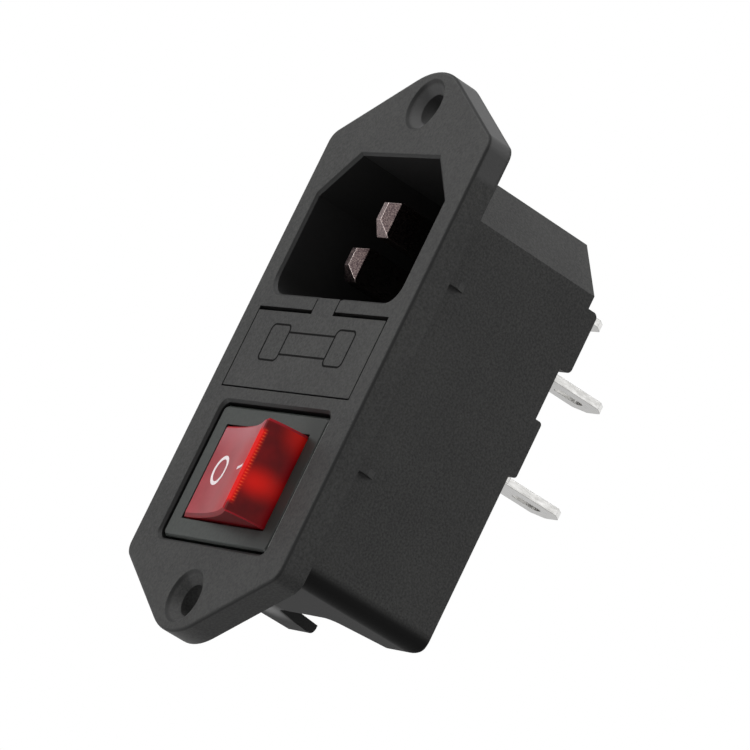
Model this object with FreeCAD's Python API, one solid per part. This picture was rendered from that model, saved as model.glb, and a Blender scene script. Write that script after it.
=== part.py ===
import FreeCAD, Part
import math
import os

# Power entry module: a mains inlet, a drawer for two 5 x 20 mm fuses and an illuminated
# rocker switch in one moulded housing, held to a panel by two countersunk screws.
# Millimetres. X is to the right seen from the front, Z is up with the inlet on top,
# the front faces -Y, and y = 0 is the back of the flange, which lies on the panel.
# z = 0 is midway between the two screw holes.

# Flange and its screws
screw_hole_r = 1.75
countersink_r = 3.0
countersink_depth = 1.1
flange_thick = 3.0
side_lip = 2.1             # flange beyond the body at the sides
end_lip = 1.175            # straight side of the flange beyond the body at the ends
side_drop = 3.65           # from a screw back to where the straight side ends
tip_reach = 5.1            # from a screw to the point before it is rounded
flange_tip_r = 8.0
flange_corner_r = 1.8
flange_edge_r = 0.35

# Body behind the panel
body_depth = 17.05
body_drop = 0.225          # middle of the body below the middle of the screws
body_foot_r = 0.9
body_keel_r = 1.8          # along the bottom edges
wall = 1.2
rib_height = 0.45
rib_length = 2.0
rib_run_out = 2.0
rib_width = 0.8
rib_inset = 14.05
inlet_boss_out = 1.35
inlet_boss_r = 0.6
inlet_boss_rise = 2.05
fuse_boss_out = 0.9
fuse_boss_r = 0.4
fuse_boss_rise = 4.0
notch_depth = 6.8
notch_half = 5.4
notch_flare = 3.0
notch_r = 2.0

# Inlet
inlet_roof = 1.0
inlet_side = 1.1
inlet_height = 16.4
inlet_corner_cut = 4.9
inlet_corner_r = 2.4
inlet_rim = 0.3
inlet_floor_thick = 3.4
pin_wide = 4.0
pin_thick = 2.0
pin_pitch = 14.0
pin_offset = 2.0
pin_tip_side = 0.6         # what the taper of a tip takes off each side
pin_tip_side_run = 1.1
pin_tip_top = 0.65
pin_tip_foot = 1.4
pin_tip_run = 1.35
earth_reach = 15.6
live_reach = 12.8

# Rear tabs
tab_wide = 4.8
tab_thick = 0.8
tab_out = 9.85
tab_tip_cut = 1.2
tab_tip_r = 0.6
tab_shoulder = 0.75        # wider root that stops on the housing
tab_root = 1.4
tab_slot_wide = 1.4
tab_slot_r = 0.6
tab_slot_length = 3.6
tab_slot_from_tip = 3.6
tab_cover = 0.25
earth_tab_rise = 4.35      # from the middle of the inlet
live_tab_drop = 4.85
fuse_tab_drop = 2.38       # from the middle of the drawer
fuse_tab_inset = 1.5       # from the end of the fuse
plate_inset = 0.25
insert_gap = 0.02

# Fuse drawer
inlet_sill = 2.05          # housing between the inlet and the drawer
drawer_side = 0.85         # housing beside the drawer plate
drawer_height = 8.75
drawer_plate = 1.5
drawer_gap = 0.16
finger_tab_half = 2.1
finger_slot = 0.45
tray_inset = 0.95
tray_end = 1.45            # tray beyond the fuse trough
tray_lap = 0.825           # drawer plate above and below the tray
tray_depth = 13.2
tray_gap = 0.15
fuse_length = 20.0
fuse_cap_r = 2.6
fuse_cap_length = 5.2
fuse_cap_wall = 0.3
fuse_glass_wall = 0.5
fuse_wire_r = 0.12
fuse_fit = 0.02
fuse_room = 0.15
spare_y = 1.35
active_y = 7.15
contact_gap = 0.08
contact_wide = 3.2
contact_rise = 2.4
contact_bend_r = 1.1

# Rocker switch
drawer_sill = 1.75         # housing between the drawer and the switch recess
recess_foot = 1.1          # housing below the recess
recess_depth = 1.5
recess_corner_r = 1.2
recess_rim = 0.3
bezel_side = 2.4           # bezel beyond the rocker
bezel_end = 2.3
bezel_gap = 0.35
bezel_sink = 0.27
bezel_corner_r = 0.7
bezel_edge = 0.25
frame_inset = 1.0
frame_wall = 0.9
frame_back = 11.5
frame_floor = 1.2
frame_fit = 0.1
panel_web = 2.0
barb_out = 0.9
barb_length = 3.4
barb_wide = 5.0
barb_root = 0.3
rocker_r = 8.1
rocker_top = 3.9
rocker_dish = 0.75
rocker_height = 10.4
rocker_gap = 0.2
rocker_skirt = 1.5
rocker_wall = 1.1
rocker_edge = 0.35
rocker_sink = 1.65
rocker_tilt = 15.0
trunnion_r = 1.2
trunnion_length = 0.7
trunnion_fit = 0.05
post_inset = 2.3           # from a side of the rocker to the middle of a post
post_r = 1.75
post_length = 3.6
plunger_r = 1.15
plunger_nose = 0.5
plunger_reach = 7.0
plunger_length = 5.6
plunger_fit = 0.1
spring_r = 0.82
spring_wire_r = 0.13
spring_turns = 3
spring_length = 1.6
bridge_gap = 0.15
bridge_thick = 0.5
bridge_half = 6.4
bridge_lane = 2.4          # clear lane between the two arms
bridge_bend = 10.0
bridge_tilt = 7.0
rivet_r = 1.0
rivet_thick = 0.5
rivet_x = 5.6
rivet_gap = 0.1
terminal_thick = 0.8
terminal_lane = 1.4
terminal_out = 8.0

# Neon lamp in the rocker
lamp_x = 4.4
lamp_drop = 2.3
lamp_r = 1.7
lamp_wall = 0.35
lamp_inset = 2.2
lamp_dome = 0.9
electrode_r = 0.35
electrode_pitch = 1.2
electrode_tip = 1.75       # lamp beyond the electrodes
electrode_rise = 0.5
lead_r = 0.22
lead_loop = 0.35
lead_fit = 0.04
resistor_r = 0.75
resistor_length = 3.2
resistor_drop = 0.6

# Sizes that follow
over = 1.0                 # how far a cut starts outside the material
near = 0.001
front = -flange_thick
tray_half = fuse_length / 2 + fuse_room + tray_end
drawer_half = tray_half + tray_inset
body_half = drawer_half + drawer_side
inlet_half = body_half - inlet_side
flange_half = body_half + side_lip
recess_half_x = rocker_r + bezel_side + bezel_gap
recess_half_z = rocker_height / 2 + bezel_end + bezel_gap
body_height = (inlet_roof + inlet_height + inlet_sill + drawer_height + drawer_sill + 2 * recess_half_z
               + recess_foot)
body_top = body_height / 2 - body_drop
body_bottom = body_top - body_height
body_corner_cut = inlet_corner_cut + drawer_side
flange_side = body_height / 2 + end_lip
screw_z = flange_side + side_drop
flange_tip = screw_z + tip_reach
rib_z = flange_side - rib_inset
inlet_top = body_top - inlet_roof
inlet_z = inlet_top - inlet_height / 2
inlet_bottom = inlet_z - inlet_height / 2
floor_y = body_depth - inlet_floor_thick
tab_end = body_depth + tab_out
plate_y = body_depth - plate_inset - tab_thick
drawer_top = inlet_bottom - inlet_sill
drawer_z = drawer_top - drawer_height / 2
drawer_bottom = drawer_z - drawer_height / 2
tray_tall = drawer_height / 2 - tray_lap
pocket_y = front + drawer_plate
tray_back = pocket_y + tray_depth
bay_back = tray_back + tray_gap
fuse_tab_x = fuse_length / 2 - fuse_tab_inset
fuse_tab_z = drawer_z - fuse_tab_drop
switch_z = drawer_bottom - drawer_sill - recess_half_z
bezel_half_x = rocker_r + bezel_side
bezel_half_z = rocker_height / 2 + bezel_end
bezel_front = front + bezel_sink
recess_floor = front + recess_depth
web_back = recess_floor + panel_web
frame_half_x = bezel_half_x - frame_inset
frame_half_z = bezel_half_z - frame_inset
pivot_y = bezel_front + rocker_sink
opening_half_x = rocker_r + rocker_gap
opening_half_z = rocker_height / 2 + rocker_gap
rocker_edge_y = pivot_y - rocker_top
pole_offset = rocker_height / 2 - post_inset
poles = {"upper": switch_z + pole_offset, "lower": switch_z - pole_offset}
plunger_tip = pivot_y + plunger_reach
bridge_front = plunger_tip + bridge_gap
bridge_back = bridge_front + bridge_thick
bridge_wide = 2 * pole_offset - bridge_lane
terminal_wide = 2 * pole_offset - terminal_lane
nose_r = terminal_thick / 2
arm_axis_y = bridge_back + nose_r / math.cos(math.radians(bridge_bend)) + contact_gap
blade_x = -rivet_x - terminal_thick
lamp_half = rocker_height / 2 - lamp_inset


def point(plane, u, v, w):
    spots = {"xz": (u, w, v), "xy": (u, v, w), "yz": (w, u, v)}
    return FreeCAD.Vector(*spots[plane])


def prism(plane, corners, low, high):
    """Extrude an outline; a corner's third number is its radius."""
    starts, ends, middles = [], [], []
    for i, corner in enumerate(corners):
        here = FreeCAD.Vector(corner[0], corner[1], 0)
        radius = corner[2] if len(corner) > 2 else 0
        before = FreeCAD.Vector(corners[i - 1][0], corners[i - 1][1], 0) - here
        after = FreeCAD.Vector(*corners[(i + 1) % len(corners)][:2], 0) - here
        before.normalize()
        after.normalize()
        half = before.getAngle(after) / 2
        reach = radius / math.tan(half)
        inward = before + after
        if radius:
            inward.normalize()
            middles.append(here + inward * (radius / math.sin(half) - radius))
        else:
            middles.append(None)
        starts.append(here + before * reach)
        ends.append(here + after * reach)
    edges = []
    for i, middle in enumerate(middles):
        start, end, onward = starts[i], ends[i], starts[(i + 1) % len(corners)]
        if middle is not None:
            arc = [point(plane, p.x, p.y, low) for p in (start, middle, end)]
            edges.append(Part.Arc(*arc).toShape())
        if (onward - end).Length > near:
            line = [point(plane, p.x, p.y, low) for p in (end, onward)]
            edges.append(Part.makeLine(*line))
    face = Part.Face(Part.Wire(edges))
    return face.extrude(point(plane, 0, 0, high - low))


def block(x0, x1, y0, y1, z0, z1):
    return Part.makeBox(x1 - x0, y1 - y0, z1 - z0, FreeCAD.Vector(x0, y0, z0))


def rectangle(half_x, half_z, centre_z, radius=0.0):
    low, high = centre_z - half_z, centre_z + half_z
    return [(-half_x, low, radius), (half_x, low, radius), (half_x, high, radius), (-half_x, high, radius)]


def rod(radius, start, end):
    """A round bar between two points."""
    along = FreeCAD.Vector(*end) - FreeCAD.Vector(*start)
    return Part.makeCylinder(radius, along.Length, FreeCAD.Vector(*start), along)


def thin_wire(radius, *spots):
    """A thin wire with tight mitred bends, drawn with six sides."""
    path = [FreeCAD.Vector(*spot) for spot in spots]
    ring = six_sides(radius, path[0], path[1] - path[0])
    return Part.makePolygon(path).makePipeShell([ring], True, False, 1)


def six_sides(radius, centre, along):
    spoke = along.cross(FreeCAD.Vector(1, 1, 1)).normalize() * radius
    corners = [centre + FreeCAD.Rotation(along, turn).multVec(spoke) for turn in range(0, 360, 60)]
    return Part.makePolygon(corners + corners[:1])


def soften(shape, radius, chosen):
    """Round the edges that the test picks by their boxes."""
    return shape.makeFillet(radius, [edge for edge in shape.Edges if chosen(edge.BoundBox)])


def bevel(shape, size, chosen):
    return shape.makeChamfer(size, [edge for edge in shape.Edges if chosen(edge.BoundBox)])


def union(first, *others):
    return first.multiFuse(list(others)).removeSplitter()


def turned(shape, centre_y, degrees):
    copy = shape.copy()
    copy.rotate(FreeCAD.Vector(0, centre_y, 0), FreeCAD.Vector(0, 0, 1), degrees)
    return copy


def hexagon():
    side, half, tip = flange_side, flange_half, flange_tip
    corner, end = flange_corner_r, flange_tip_r
    return [(half, -side, corner), (half, side, corner), (0, tip, end),
            (-half, side, corner), (-half, -side, corner), (0, -tip, end)]


def cut_corner_outline(half, bottom, top, cut, radius):
    return [(-half, bottom, radius), (half, bottom, radius), (half, top - cut), (half - cut, top),
            (cut - half, top), (-half, top - cut)]


def inlet_outline(grow=0.0):
    return cut_corner_outline(inlet_half + grow, inlet_bottom - grow, inlet_top + grow,
                              inlet_corner_cut, inlet_corner_r)


def recess_outline(grow=0.0):
    return rectangle(recess_half_x + grow, recess_half_z + grow, switch_z, recess_corner_r)


def rim_bevel(outline, size):
    """What a bevel takes away where an opening meets the front face."""
    wires = []
    for depth, grow in ((-size, 2 * size), (size, 0.0)):
        slab = prism("xz", outline(grow), front + depth, front + depth + over)
        near_face = [face for face in slab.Faces if face.BoundBox.YMax < front + depth + near]
        wires.append(near_face[0].OuterWire)
    return Part.makeLoft(wires, True, True)


def tab(x, z, start, grow=0.0):
    """A flat blade that runs to the rear, with a tapered tip and a slot."""
    half, root = tab_wide / 2 + grow, tab_wide / 2 + tab_shoulder + grow
    step, taper, tip = body_depth + tab_root, tab_end - tab_tip_cut, half - tab_tip_cut
    outline = [(x - root, start), (x + root, start), (x + root, step), (x + half, step), (x + half, taper),
               (x + tip, tab_end, tab_tip_r), (x - tip, tab_end, tab_tip_r), (x - half, taper),
               (x - half, step), (x - root, step)]
    low, high = z - tab_thick / 2 - grow, z + tab_thick / 2 + grow
    blade = prism("xy", outline, low, high)
    if grow:
        return blade
    middle = tab_end - tab_slot_from_tip
    run, across = tab_slot_length / 2, tab_slot_wide / 2
    slot = [(x - across, middle - run, tab_slot_r), (x + across, middle - run, tab_slot_r),
            (x + across, middle + run, tab_slot_r), (x - across, middle + run, tab_slot_r)]
    return blade.cut(prism("xy", slot, low - over, high + over))


def pin_taper(x, z, start, end):
    """The room that a pin's tapered tip fills, seen from above and from the side."""
    thick, wide = pin_thick / 2, pin_wide / 2
    side, behind = thick - pin_tip_side, start + pin_tip_side_run
    above = prism("xy", [(x - side, start), (x + side, start), (x + thick, behind), (x + thick, end),
                         (x - thick, end), (x - thick, behind)], z - wide, z + wide)
    beside = prism("yz", [(start, z - wide + pin_tip_foot), (start + pin_tip_run, z - wide), (end, z - wide),
                          (end, z + wide), (start + pin_tip_run, z + wide), (start, z + wide - pin_tip_top)],
                   x - thick, x + thick)
    return above.common(beside)


def contact_pin(x, z, reach, tab_z, grow=0.0):
    """A flat pin with a chamfered tip, cranked behind the floor into a rear tab."""
    start = floor_y - reach
    end = plate_y + tab_thick
    thick, wide = pin_thick / 2 + grow, pin_wide / 2 + grow
    shank = block(x - thick, x + thick, start, end, z - wide, z + wide)
    if not grow:
        shank = shank.common(pin_taper(x, z, start, end))
    low = min(z - wide, tab_z - tab_thick / 2 - grow)
    high = max(z + wide, tab_z + tab_thick / 2 + grow)
    plate = block(x - tab_wide / 2 - grow, x + tab_wide / 2 + grow, plate_y - grow, end + grow, low, high)
    return union(shank, plate, tab(x, tab_z, plate_y, grow))


def earth_contact(grow=0.0):
    return contact_pin(0.0, inlet_z + pin_offset, earth_reach, inlet_z + earth_tab_rise, grow)


def live_contact(side, grow=0.0):
    return contact_pin(side * pin_pitch / 2, inlet_z - pin_offset, live_reach, inlet_z - live_tab_drop, grow)


def fuse_contact(side, grow=0.0):
    """A rear tab whose inner end is bent up into a leaf behind the fuse cap."""
    x = side * fuse_tab_x
    leaf_y = active_y + fuse_cap_r + contact_gap
    low, high = fuse_tab_z - tab_thick / 2 - grow, fuse_tab_z + tab_thick / 2 + grow
    inner_r = contact_bend_r - tab_thick
    half = contact_wide / 2 + grow
    leaf = prism("yz", [(bay_back, low), (bay_back, high), (leaf_y + tab_thick, high, inner_r),
                        (leaf_y + tab_thick, drawer_z + contact_rise), (leaf_y, drawer_z + contact_rise),
                        (leaf_y, low, contact_bend_r)], x - half, x + half)
    return union(tab(x, fuse_tab_z, bay_back, grow), leaf)


def ribs():
    """Two tapered crush ribs on each side, just behind the flange."""
    made = []
    for side in (-1, 1):
        root = side * (body_half - rib_height)
        crest = side * (body_half + rib_height)
        start, end = front / 2, rib_length + rib_run_out
        outline = [(root, start), (crest, start), (crest, rib_length), (root, end)]
        for z in (-rib_z, rib_z):
            made.append(prism("xy", outline, z - rib_width / 2, z + rib_width / 2))
    return made


def foot_notch():
    """The flared opening in the rear edge of the bottom wall."""
    inner = body_depth - notch_depth
    rear = notch_half + notch_flare
    return prism("xy", [(-notch_half, inner, notch_r), (notch_half, inner, notch_r),
                        (rear, body_depth + over), (-rear, body_depth + over)],
                 body_bottom - over, body_bottom + wall + over)


def inlet_cuts():
    cuts = [prism("xz", inlet_outline(), front - over, floor_y), rim_bevel(inlet_outline, inlet_rim)]
    cuts.append(earth_contact(insert_gap))
    cuts.extend(live_contact(side, insert_gap) for side in (-1, 1))
    return cuts


def screw_cuts():
    cuts = []
    for z in (-screw_z, screw_z):
        cuts.append(rod(screw_hole_r, (0, front - over, z), (0, over, z)))
        cuts.append(Part.makeCone(countersink_r, screw_hole_r, countersink_depth,
                                  FreeCAD.Vector(0, front, z), FreeCAD.Vector(0, 1, 0)))
    return cuts


def drawer_cuts():
    plate_half, finger_half = drawer_half + drawer_gap, finger_tab_half + drawer_gap
    bay_half, bay_tall = tray_half + tray_gap, tray_tall + tray_gap
    plate_foot = drawer_bottom - drawer_gap
    cuts = [
        block(-plate_half, plate_half, front - over, pocket_y, plate_foot, drawer_top + finger_slot),
        block(-finger_half, finger_half, front - over, pocket_y, drawer_top, inlet_bottom + over),
        block(-bay_half, bay_half, pocket_y - over, bay_back, drawer_z - bay_tall, drawer_z + bay_tall),
    ]
    cuts.extend(fuse_contact(side, insert_gap) for side in (-1, 1))
    return cuts


def switch_cuts():
    inner_half = body_half - wall
    bay_top = fuse_tab_z - tab_thick / 2 - tab_cover - wall
    frame_hole = rectangle(frame_half_x + frame_fit, frame_half_z + frame_fit, switch_z)
    return [
        prism("xz", recess_outline(), front - over, recess_floor),
        rim_bevel(recess_outline, recess_rim),
        prism("xz", frame_hole, front, web_back + over),
        block(-inner_half, inner_half, web_back, tab_end, body_bottom + wall, bay_top),
        foot_notch(),
    ]


def boss(out, low, high, radius):
    """A raised band across the rear of the body, over the roots of the tabs."""
    crest = body_depth + out
    return prism("yz", [(body_depth - over, low), (crest, low, radius), (crest, high, radius),
                        (body_depth - over, high)], -body_half, body_half)


def housing():
    """The one-piece moulding: flange, body, contact bosses and the three openings."""
    flange = soften(prism("xz", hexagon(), front, 0), flange_edge_r, lambda b: b.YMax < front + near)
    outline = cut_corner_outline(body_half, body_bottom, body_top, body_corner_cut, body_keel_r)
    profile = [(front / 2, body_bottom), (body_depth, body_bottom, body_foot_r), (body_depth, body_top),
               (front / 2, body_top)]
    body = prism("xz", outline, front / 2, body_depth).common(prism("yz", profile, -body_half, body_half))
    inlet_boss = boss(inlet_boss_out, inlet_z - live_tab_drop, inlet_z + inlet_boss_rise, inlet_boss_r)
    fuse_boss = boss(fuse_boss_out, fuse_tab_z, drawer_z + fuse_boss_rise, fuse_boss_r)
    solid = union(flange, body, inlet_boss, fuse_boss, *ribs())
    for cut in inlet_cuts() + screw_cuts() + drawer_cuts() + switch_cuts():
        solid = solid.cut(cut)
    return solid


def drawer():
    """Front plate with its finger tab, and the tray with two fuse troughs."""
    plate = block(-drawer_half, drawer_half, front, pocket_y, drawer_bottom, drawer_top)
    finger = block(-finger_tab_half, finger_tab_half, front, pocket_y, drawer_z, inlet_bottom - drawer_gap)
    tray = block(-tray_half, tray_half, front / 2, tray_back, drawer_z - tray_tall, drawer_z + tray_tall)
    solid = union(plate, finger, tray)
    run = fuse_length / 2 + fuse_room
    reach = fuse_cap_r + fuse_room
    roof = drawer_z + drawer_height
    for y in (spare_y, active_y):
        room = block(-run, run, y - reach, y + reach, drawer_z, roof)
        solid = solid.cut(room.fuse(rod(reach, (-run, y, drawer_z), (run, y, drawer_z))))
    window = contact_wide / 2 + tray_gap
    sill = fuse_tab_z - tab_thick
    for side in (-1, 1):
        x = side * fuse_tab_x
        solid = solid.cut(block(x - window, x + window, active_y, tray_back + over, sill, roof))
    return solid


def fuse(y):
    """Glass tube, two end caps and the wire between them."""
    half = fuse_length / 2
    inner = fuse_cap_r - fuse_cap_wall
    wire_half = half - fuse_cap_wall
    glass_half = wire_half - fuse_fit
    glass_r = inner - fuse_fit
    glass = rod(glass_r, (-glass_half, y, drawer_z), (glass_half, y, drawer_z))
    bore = rod(glass_r - fuse_glass_wall, (-half, y, drawer_z), (half, y, drawer_z))
    pieces = {"glass": glass.cut(bore)}
    for name, side in (("cap_left", -1), ("cap_right", 1)):
        cap = rod(fuse_cap_r, (side * half, y, drawer_z), (side * (half - fuse_cap_length), y, drawer_z))
        hollow = rod(inner, (side * wire_half, y, drawer_z), (0, y, drawer_z))
        pieces[name] = cap.cut(hollow)
    pieces["wire"] = thin_wire(fuse_wire_r, (-wire_half, y, drawer_z), (wire_half, y, drawer_z))
    return pieces


def switch_frame():
    """Bezel, box and rear floor of the rocker switch."""
    bezel = prism("xz", rectangle(bezel_half_x, bezel_half_z, switch_z, bezel_corner_r),
                  bezel_front, recess_floor)
    bezel = bevel(bezel, bezel_edge, lambda b: b.YMax < bezel_front + near)
    box = prism("xz", rectangle(frame_half_x, frame_half_z, switch_z), bezel_front + bezel_edge, frame_back)
    opening = rectangle(opening_half_x, opening_half_z, switch_z)
    opening = prism("xz", opening, bezel_front - over, recess_floor)
    inner_half = frame_half_x - frame_wall
    room = block(-inner_half, inner_half, recess_floor - near, frame_back - frame_floor,
                 switch_z - opening_half_z, switch_z + opening_half_z)
    reach = rocker_height / 2 + trunnion_length + trunnion_fit
    socket = rod(trunnion_r + trunnion_fit, (0, pivot_y, switch_z - reach), (0, pivot_y, switch_z + reach))
    solid = union(bezel, box, *barbs())
    for cut in (opening, room, socket):
        solid = solid.cut(cut)
    for z in poles.values():
        solid = solid.cut(terminal_slot(0.0, z)).cut(terminal_slot(blade_x, z))
    hole_end = lead_end_y() + lead_fit
    for side in (-1, 1):
        x = lamp_x + side * electrode_pitch / 2
        solid = solid.cut(rod(lead_r + lead_fit, (x, pivot_y, switch_z), (x, hole_end, switch_z)))
    return solid


def barbs():
    """Snap fingers that catch behind the housing's panel web."""
    made = []
    start = web_back + frame_fit
    for side in (-1, 1):
        root = side * (frame_half_x - barb_root)
        crest = side * (frame_half_x + barb_out)
        made.append(prism("xy", [(root, start), (crest, start), (root, start + barb_length)],
                          switch_z - barb_wide / 2, switch_z + barb_wide / 2))
    return made


def terminal_slot(x, z):
    half, tall = terminal_thick / 2 + insert_gap, terminal_wide / 2 + insert_gap
    return block(x - half, x + half, frame_back - frame_floor - over, frame_back + over, z - tall, z + tall)


def rocker_section(radius, top, bottom, low, high):
    """Round ends about the pivot and a dished top, extruded along the pivot axis."""
    def spot(x, y):
        return FreeCAD.Vector(x, pivot_y + y, low)

    corner = math.sqrt(radius ** 2 - top ** 2)
    skirt = math.sqrt(radius ** 2 - bottom ** 2)
    path = [
        Part.Arc(spot(-corner, -top), spot(0, rocker_dish - top), spot(corner, -top)),
        Part.Arc(spot(corner, -top), spot(radius, 0), spot(skirt, bottom)),
        Part.LineSegment(spot(skirt, bottom), spot(-skirt, bottom)),
        Part.Arc(spot(-skirt, bottom), spot(-radius, 0), spot(-corner, -top)),
    ]
    return Part.Face(Part.Wire([piece.toShape() for piece in path])).extrude(FreeCAD.Vector(0, 0, high - low))


def rocker():
    """Hollow key with trunnions at its ends and two bored posts for the plungers."""
    low, high = switch_z - rocker_height / 2, switch_z + rocker_height / 2
    shell = rocker_section(rocker_r, rocker_top, rocker_skirt, low, high)
    shell = bevel(shell, rocker_edge, lambda b: b.YMax < rocker_edge_y + rocker_dish + near)
    shell = shell.cut(rocker_section(rocker_r - rocker_wall, rocker_top - rocker_wall, rocker_skirt + over,
                                     low + rocker_wall, high - rocker_wall))
    root = rocker_edge_y + rocker_dish + rocker_wall / 2
    posts = [rod(post_r, (0, root, z), (0, pivot_y + post_length, z)) for z in poles.values()]
    trunnions = [rod(trunnion_r, (0, pivot_y, low - trunnion_length), (0, pivot_y, low + rocker_wall)),
                 rod(trunnion_r, (0, pivot_y, high - rocker_wall), (0, pivot_y, high + trunnion_length))]
    solid = union(shell, *posts, *trunnions)
    bore_top = plunger_tip - plunger_length - spring_length
    for z in poles.values():
        solid = solid.cut(rod(plunger_r + plunger_fit, (0, bore_top, z), (0, frame_back, z)))
    return turned(solid, pivot_y, -rocker_tilt)


def dome(radius, height, base, along):
    """A shallow round nose on a bar that ends at base."""
    ball_r = (radius ** 2 + height ** 2) / (2 * height)
    foot, way = FreeCAD.Vector(*base), FreeCAD.Vector(*along)
    ball = Part.makeSphere(ball_r, foot + way * (height - ball_r), FreeCAD.Vector(1, 0, 0))
    return ball.common(Part.makeCylinder(radius, height, foot, way))


def plunger(z):
    """A pin with a domed nose."""
    shoulder = plunger_tip - plunger_nose
    shaft = rod(plunger_r, (0, plunger_tip - plunger_length, z), (0, shoulder, z))
    nose = dome(plunger_r, plunger_nose, (0, shoulder, z), (0, 1, 0))
    return turned(union(shaft, nose), pivot_y, -rocker_tilt)


def plunger_spring(z):
    """A short compression spring, in half turns that each climb by half a pitch."""
    climb = (spring_length - 2 * spring_wire_r) / (2 * spring_turns)
    start = plunger_tip - plunger_length - spring_length + spring_wire_r
    section = Part.Face(six_sides(spring_wire_r, FreeCAD.Vector(spring_r, start, z), FreeCAD.Vector(0, 0, 1)))
    halves = []
    for i in range(2 * spring_turns):
        centre = FreeCAD.Vector(0, start + (i + 0.5) * climb, z)
        axis = FreeCAD.Vector(climb if i % 2 == 0 else -climb, 2 * spring_r, 0)
        halves.append(section.revolve(centre, axis, 180))
        section = section.copy()
        section.rotate(centre, axis, 180)
    return turned(union(*halves), pivot_y, -rocker_tilt)


def bridge(z):
    """The seesaw contact arm, a shallow V that rocks on the centre terminal."""
    rise = bridge_half * math.tan(math.radians(bridge_bend))
    outline = [(0, bridge_front), (bridge_half, bridge_front - rise), (bridge_half, bridge_back - rise),
               (0, bridge_back), (-bridge_half, bridge_back - rise), (-bridge_half, bridge_front - rise)]
    plate = prism("xy", outline, z - bridge_wide / 2, z + bridge_wide / 2)
    return turned(plate, arm_axis_y, bridge_tilt)


def moving_rivet(z, tilt=bridge_tilt):
    slant = math.radians(bridge_bend)
    start = FreeCAD.Vector(-rivet_x, bridge_back - rivet_x * math.tan(slant), z)
    away = FreeCAD.Vector(-math.sin(slant), math.cos(slant), 0)
    return turned(Part.makeCylinder(rivet_r, rivet_thick, start, away), arm_axis_y, tilt)


def fixed_rivet_y():
    """Just behind where the moving rivet comes when the switch is on."""
    return moving_rivet(switch_z, -bridge_tilt).BoundBox.YMax + rivet_gap


def fixed_rivet(z):
    start = fixed_rivet_y()
    return rod(rivet_r, (-rivet_x, start, z), (-rivet_x, start + rivet_thick, z))


def centre_terminal(z):
    """A blade whose rounded inner edge is the axis of the arm."""
    low, high = z - terminal_wide / 2, z + terminal_wide / 2
    blade = block(-nose_r, nose_r, arm_axis_y, frame_back + terminal_out, low, high)
    return union(blade, rod(nose_r, (0, arm_axis_y, low), (0, arm_axis_y, high)))


def end_terminal(z):
    """A shelf under the fixed rivet and a blade through the floor of the switch."""
    shelf_y = fixed_rivet_y() + rivet_thick
    outer = blade_x - terminal_thick / 2
    low, high = z - terminal_wide / 2, z + terminal_wide / 2
    shelf = block(outer, rivet_r - rivet_x, shelf_y, shelf_y + terminal_thick, low, high)
    blade = block(outer, outer + terminal_thick, shelf_y, frame_back + terminal_out, low, high)
    return union(shelf, blade)


def lead_end_y():
    """Where the lamp's wires stop, halfway through the floor of the switch."""
    return frame_back - frame_floor / 2


def neon_tube(y, low, high):
    """A glass tube with a domed end, open inside."""
    shoulder = high - lamp_dome
    tube = rod(lamp_r, (lamp_x, y, low), (lamp_x, y, shoulder))
    end = dome(lamp_r, lamp_dome, (lamp_x, y, shoulder), (0, 0, 1))
    inside = rod(lamp_r - lamp_wall, (lamp_x, y, low + lamp_wall), (lamp_x, y, shoulder))
    return union(tube, end).cut(inside)


def lamp():
    """A neon tube across the switch, its electrodes, leads and series resistor."""
    y = pivot_y + lamp_drop
    low, high = switch_z - lamp_half, switch_z + lamp_half
    foot = low + lamp_wall + electrode_rise
    out_z = low - lead_r - lead_loop
    back_y = y + lamp_r + lead_r + lead_loop
    resistor_y = back_y + resistor_drop
    resistor_end = resistor_y + resistor_length
    pieces = {"neon_tube": neon_tube(y, low, high)}
    for name, side, stop in (("a", -1, lead_end_y()), ("b", 1, resistor_y)):
        x = lamp_x + side * electrode_pitch / 2
        pieces[f"electrode_{name}"] = rod(electrode_r, (x, y, foot), (x, y, high - electrode_tip))
        pieces[f"lamp_lead_{name}"] = thin_wire(lead_r, (x, y, foot), (x, y, out_z), (x, back_y, out_z),
                                                (x, back_y, switch_z), (x, stop, switch_z))
        pieces["neon_tube"] = pieces["neon_tube"].cut(rod(lead_r, (x, y, low - over), (x, y, foot)))
    pieces["resistor"] = rod(resistor_r, (x, resistor_y, switch_z), (x, resistor_end, switch_z))
    pieces["resistor_lead"] = thin_wire(lead_r, (x, resistor_end, switch_z), (x, lead_end_y(), switch_z))
    return pieces


def build():
    pieces = {
        "housing": housing(),
        "earth_pin": earth_contact(),
        "line_pin": live_contact(1),
        "neutral_pin": live_contact(-1),
        "fuse_contact_left": fuse_contact(-1),
        "fuse_contact_right": fuse_contact(1),
        "drawer": drawer(),
        "switch_frame": switch_frame(),
        "rocker": rocker(),
    }
    for prefix, y in (("fuse", active_y), ("spare", spare_y)):
        for name, shape in fuse(y).items():
            pieces[f"{prefix}_{name}"] = shape
    for pole, z in poles.items():
        pieces[f"plunger_{pole}"] = plunger(z)
        pieces[f"plunger_spring_{pole}"] = plunger_spring(z)
        pieces[f"bridge_{pole}"] = bridge(z)
        pieces[f"moving_rivet_{pole}"] = moving_rivet(z)
        pieces[f"fixed_rivet_{pole}"] = fixed_rivet(z)
        pieces[f"centre_terminal_{pole}"] = centre_terminal(z)
        pieces[f"end_terminal_{pole}"] = end_terminal(z)
    pieces.update(lamp())
    return pieces


os.makedirs("parts", exist_ok=True)
for name, shape in build().items():
    shape.exportStep(f"parts/{name}.step")
    print(name, len(shape.Solids), shape.isValid(), round(shape.Volume, 2))
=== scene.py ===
import math
import bmesh
import bpy
from mathutils import Euler, Matrix, Vector


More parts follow.
